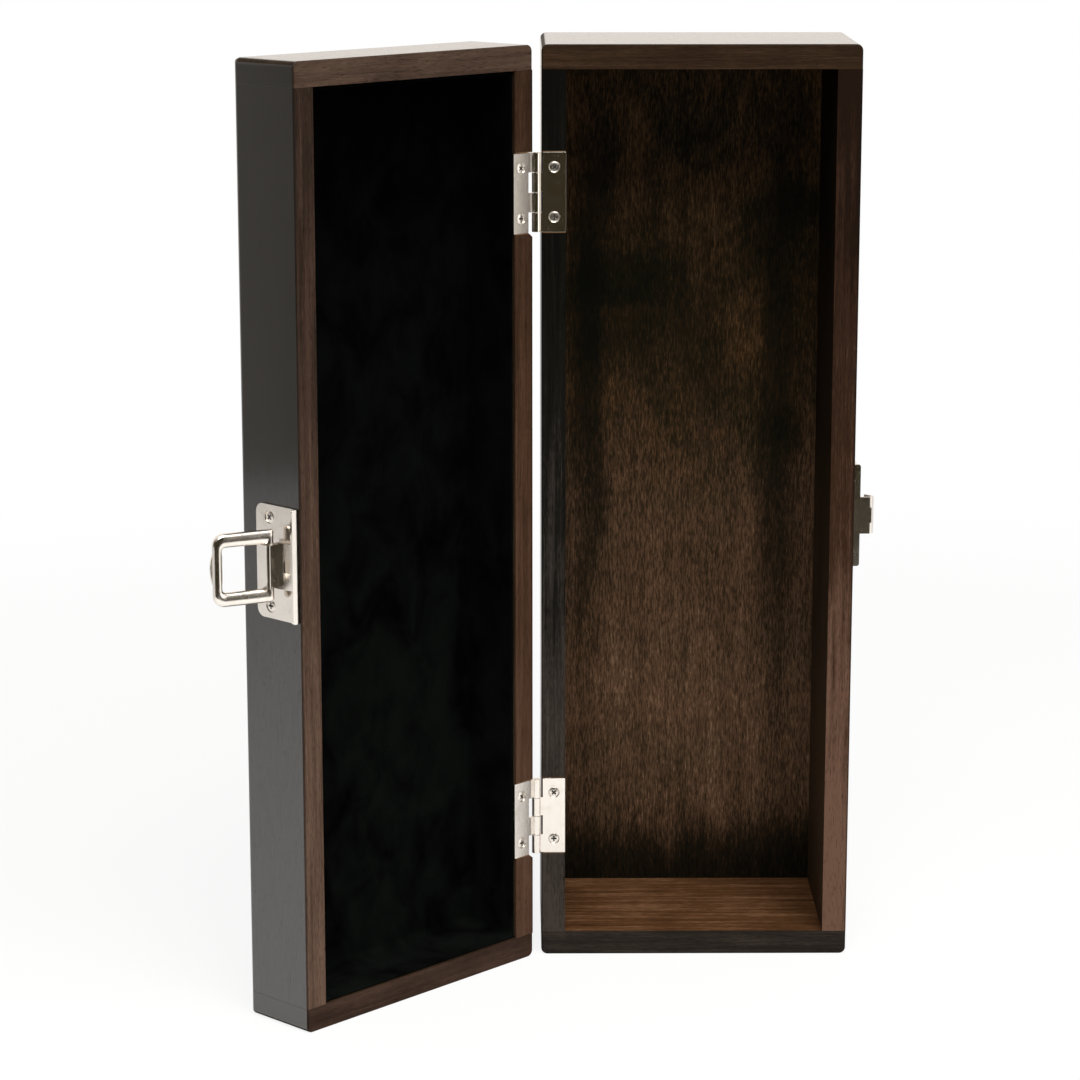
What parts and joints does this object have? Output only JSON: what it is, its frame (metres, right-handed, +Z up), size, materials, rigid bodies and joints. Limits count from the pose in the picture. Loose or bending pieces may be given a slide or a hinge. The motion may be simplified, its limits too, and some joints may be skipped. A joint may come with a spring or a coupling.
{
  "type": "wooden wine box",
  "caption": "Upright hinged wooden box for one bottle, with a deep base half, a shallow velvet-lined lid, two butt hinges and a bail catch.",
  "frame": {"origin": "centre of the base half's standing face, the underside of its lower end board", "axes": "+Z up along the height of the standing box, -Y out of the base half's open side, +X towards the base half's latch side"},
  "size_m": [0.2466, 0.1663, 0.356],
  "materials": {
    "stained_wood": "dark brown stain with a satin black-brown lacquer outside",
    "stained_plywood": "dark brown stained veneer with a vertical grain",
    "velvet_lining": "black velvet",
    "nickel_plate": "polished nickel plate with a warm tone",
    "screw_steel": "nickel-plated steel"
  },
  "bodies": {
    "base": {"base_top_end": "stained_wood", "base_bottom_end": "stained_wood", "base_hinge_side": "stained_wood", "base_latch_side": "stained_wood", "base_back_panel": "stained_plywood", "upper_hinge_base_leaf": "nickel_plate", "upper_hinge_pin": "nickel_plate", "lower_hinge_base_leaf": "nickel_plate", "lower_hinge_pin": "nickel_plate", "upper_hinge_base_screws": "screw_steel", "lower_hinge_base_screws": "screw_steel", "keeper_plate": "nickel_plate", "keeper_screws": "screw_steel"},
    "lid": {"lid_top_end": "stained_wood", "lid_bottom_end": "stained_wood", "lid_hinge_side": "stained_wood", "lid_latch_side": "stained_wood", "lid_front_panel": "stained_plywood", "lid_lining": "velvet_lining", "upper_hinge_lid_leaf": "nickel_plate", "lower_hinge_lid_leaf": "nickel_plate", "upper_hinge_lid_screws": "screw_steel", "lower_hinge_lid_screws": "screw_steel", "latch_plate": "nickel_plate", "latch_plate_screws": "screw_steel"},
    "bail": {"latch_bail": "nickel_plate", "bail_thumb_tab": "nickel_plate"}
  },
  "joints": [
    {"name": "lid_hinge", "type": "hinge", "parent": "base", "child": "lid", "pos_m": [-0.0619, -0.0358, 0], "axis": [0, 0, 1], "range_deg": [-51, 134]},
    {"name": "bail_pivot", "type": "hinge", "parent": "lid", "child": "bail", "pos_m": [-0.1582, -0.12033, 0.1765], "axis": [0, 0, 1], "range_deg": [-76, 113]}
  ]
}
